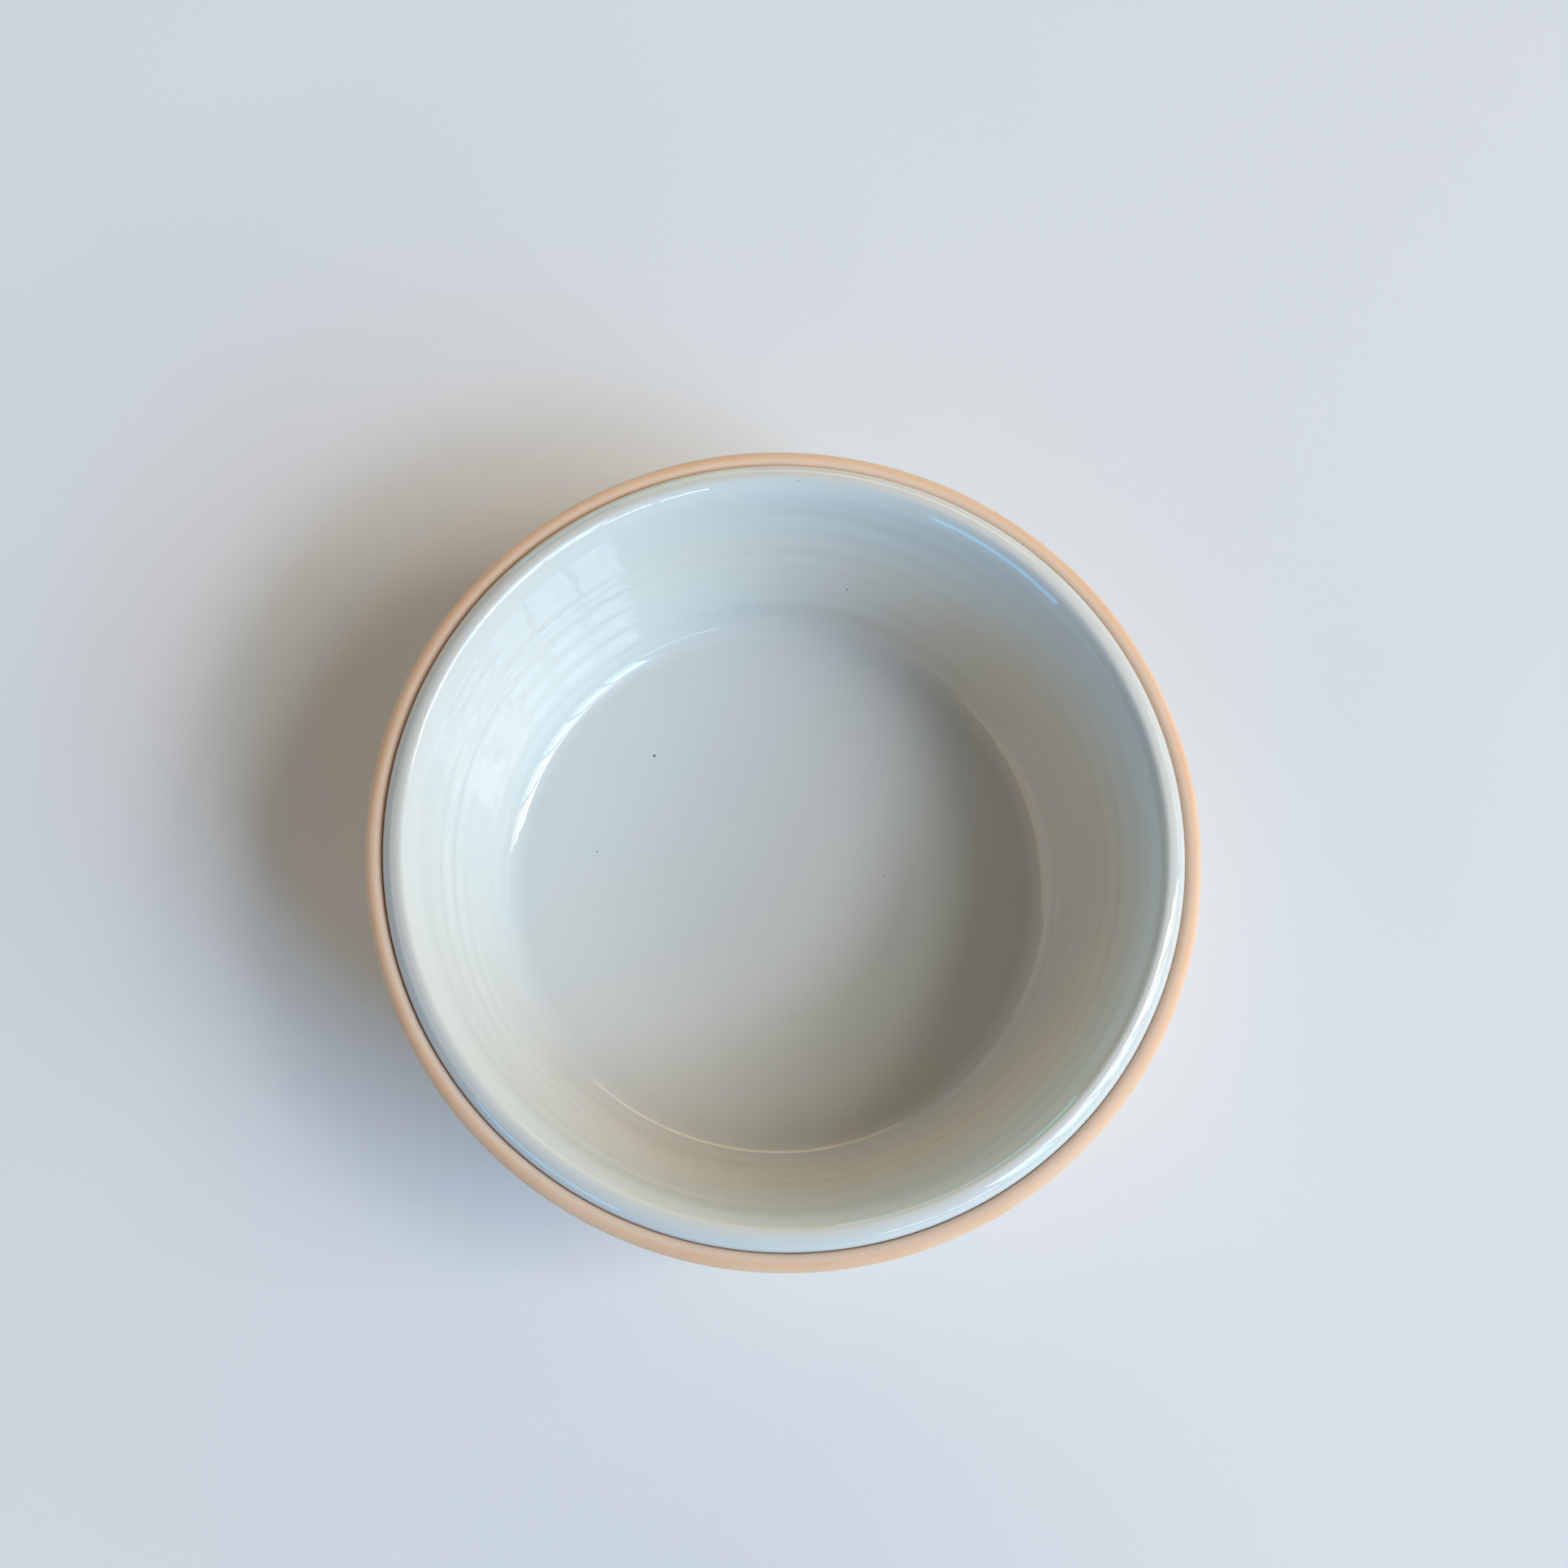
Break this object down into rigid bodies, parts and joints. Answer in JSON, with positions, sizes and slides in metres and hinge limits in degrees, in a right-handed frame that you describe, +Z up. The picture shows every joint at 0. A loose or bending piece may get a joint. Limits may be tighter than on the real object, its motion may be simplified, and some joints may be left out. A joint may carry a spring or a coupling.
{
  "type": "sleeved dish",
  "caption": "Round flat-bottomed dish of white glazed ceramic with a rolled rim, standing in a removable soft peach sleeve with a closed base.",
  "frame": {"origin": "middle of the sleeve's underside, on the surface that the object stands on", "axes": "+Z is up, along the axis that both pieces are turned about"},
  "size_m": [0.13, 0.13, 0.0476],
  "materials": {
    "sleeve_rubber": "matte",
    "white_glaze": "gloss"
  },
  "bodies": {
    "sleeve": {"sleeve": "sleeve_rubber"},
    "dish": {"dish": "white_glaze"}
  },
  "joints": [
    {"name": "dish_lift", "type": "slide", "parent": "sleeve", "child": "dish", "axis": [0, 0, 1], "range_m": [0, 0.05]}
  ]
}
